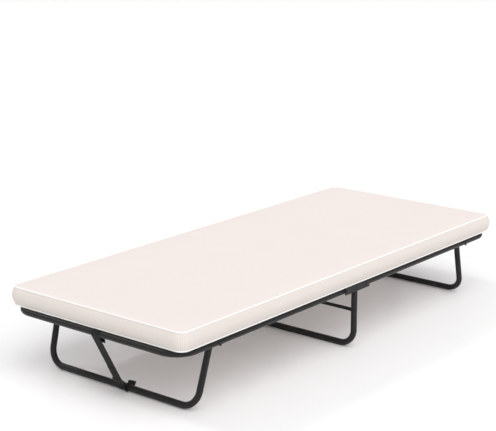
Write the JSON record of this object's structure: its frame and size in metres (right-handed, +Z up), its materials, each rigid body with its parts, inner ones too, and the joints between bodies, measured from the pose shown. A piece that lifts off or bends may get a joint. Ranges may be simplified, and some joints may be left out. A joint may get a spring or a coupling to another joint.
{
  "type": "rollaway bed",
  "caption": "Low folding bed: tubular half frames with sprung wire mesh hinge down beside a standing centre leg; folding end legs, check straps and a piped foam mattress.",
  "frame": {"origin": "on the floor under the middle of the open bed", "axes": "+X along the bed towards the head end, +Y towards the far long side, +Z up"},
  "size_m": [1.9202, 0.8116, 0.3172],
  "materials": {
    "black_steel": "fine black powder coat, satin",
    "black_fasteners": "black zinc, satin",
    "spring_wire": "bright zinc-plated wire",
    "black_plastic": "moulded, fine texture",
    "nylon": "natural nylon, satin",
    "webbing": "woven black webbing",
    "cover_cloth": "pale cream knitted cover",
    "piping_cloth": "white woven piping",
    "foam": "open-cell foam",
    "zip_coil": "cream zip coil",
    "zip_slider": "plated"
  },
  "bodies": {
    "centre_section": {"centre_leg": "black_steel", "centre_leg_brace": "black_steel", "hinge_plate_near": "black_steel", "hinge_plate_far": "black_steel", "leg_rivet_near_lower": "black_fasteners", "leg_rivet_near_upper": "black_fasteners", "leg_rivet_far_lower": "black_fasteners", "leg_rivet_far_upper": "black_fasteners", "fold_bolt_foot_near": "black_fasteners", "fold_bolt_foot_far": "black_fasteners", "fold_bolt_head_near": "black_fasteners", "fold_bolt_head_far": "black_fasteners", "fold_washer_foot_near": "nylon", "fold_washer_foot_far": "nylon", "fold_washer_head_near": "nylon", "fold_washer_head_far": "nylon", "fold_cap_nut_foot_near": "black_fasteners", "fold_cap_nut_foot_far": "black_fasteners", "fold_cap_nut_head_near": "black_fasteners", "fold_cap_nut_head_far": "black_fasteners", "mattress_cover": "cover_cloth", "mattress_foam": "foam", "mattress_piping_bottom": "piping_cloth", "mattress_piping_top": "piping_cloth", "mattress_zip": "zip_coil", "mattress_zip_slider": "zip_slider"},
    "foot_half": {"foot_frame": "black_steel", "foot_mesh": "spring_wire", "stub_plug_foot_near": "black_plastic", "stub_plug_foot_far": "black_plastic"},
    "head_half": {"head_frame": "black_steel", "head_mesh": "spring_wire", "stub_plug_head_near": "black_plastic", "stub_plug_head_far": "black_plastic", "closure_strap_near": "webbing", "closure_strap_far": "webbing"},
    "foot_end_leg": {"foot_leg": "black_steel", "leg_pin_foot_near": "black_fasteners", "leg_pin_foot_far": "black_fasteners", "leg_bush_foot_near": "nylon", "leg_bush_foot_far": "nylon"},
    "head_end_leg": {"head_leg": "black_steel", "leg_pin_head_near": "black_fasteners", "leg_pin_head_far": "black_fasteners", "leg_bush_head_near": "nylon", "leg_bush_head_far": "nylon"},
    "foot_check_strap": {"foot_leg_strap": "webbing", "foot_strap_keeper": "black_plastic"},
    "head_check_strap": {"head_leg_strap": "webbing", "head_strap_keeper": "black_plastic"}
  },
  "joints": [
    {"name": "foot_fold", "type": "hinge", "parent": "centre_section", "child": "foot_half", "pos_m": [-0.0625, 0, 0.2345], "axis": [0, -1, 0], "range_deg": [0, 90], "deforming": ["mattress_cover", "mattress_foam", "mattress_piping_bottom", "mattress_piping_top"]},
    {"name": "foot_leg_fold", "type": "hinge", "parent": "foot_half", "child": "foot_end_leg", "pos_m": [-0.7611, 0, 0.2285], "axis": [0, -1, 0], "range_deg": [0, 98], "deforming": ["foot_leg_strap"]},
    {"name": "foot_strap_swing", "type": "hinge", "parent": "foot_end_leg", "child": "foot_check_strap", "pos_m": [-0.8226, 0, 0.0125], "axis": [0, 1, 0], "range_deg": [0, 41]},
    {"name": "head_fold", "type": "hinge", "parent": "centre_section", "child": "head_half", "pos_m": [0.0625, 0, 0.2345], "axis": [0, 1, 0], "range_deg": [0, 90], "deforming": ["mattress_cover", "mattress_foam", "mattress_piping_bottom", "mattress_piping_top"]},
    {"name": "head_leg_fold", "type": "hinge", "parent": "head_half", "child": "head_end_leg", "pos_m": [0.7611, 0, 0.2285], "axis": [0, 1, 0], "range_deg": [0, 98], "deforming": ["head_leg_strap"]},
    {"name": "head_strap_swing", "type": "hinge", "parent": "head_end_leg", "child": "head_check_strap", "pos_m": [0.8226, 0, 0.0125], "axis": [0, -1, 0], "range_deg": [0, 41]}
  ],
  "couplings": [
    {"joint": "foot_leg_fold", "follows": "foot_fold", "ratio": 1.0833},
    {"joint": "foot_strap_swing", "follows": "foot_fold", "ratio": 0.44444},
    {"joint": "head_leg_fold", "follows": "head_fold", "ratio": 1.0833},
    {"joint": "head_strap_swing", "follows": "head_fold", "ratio": 0.44444}
  ]
}
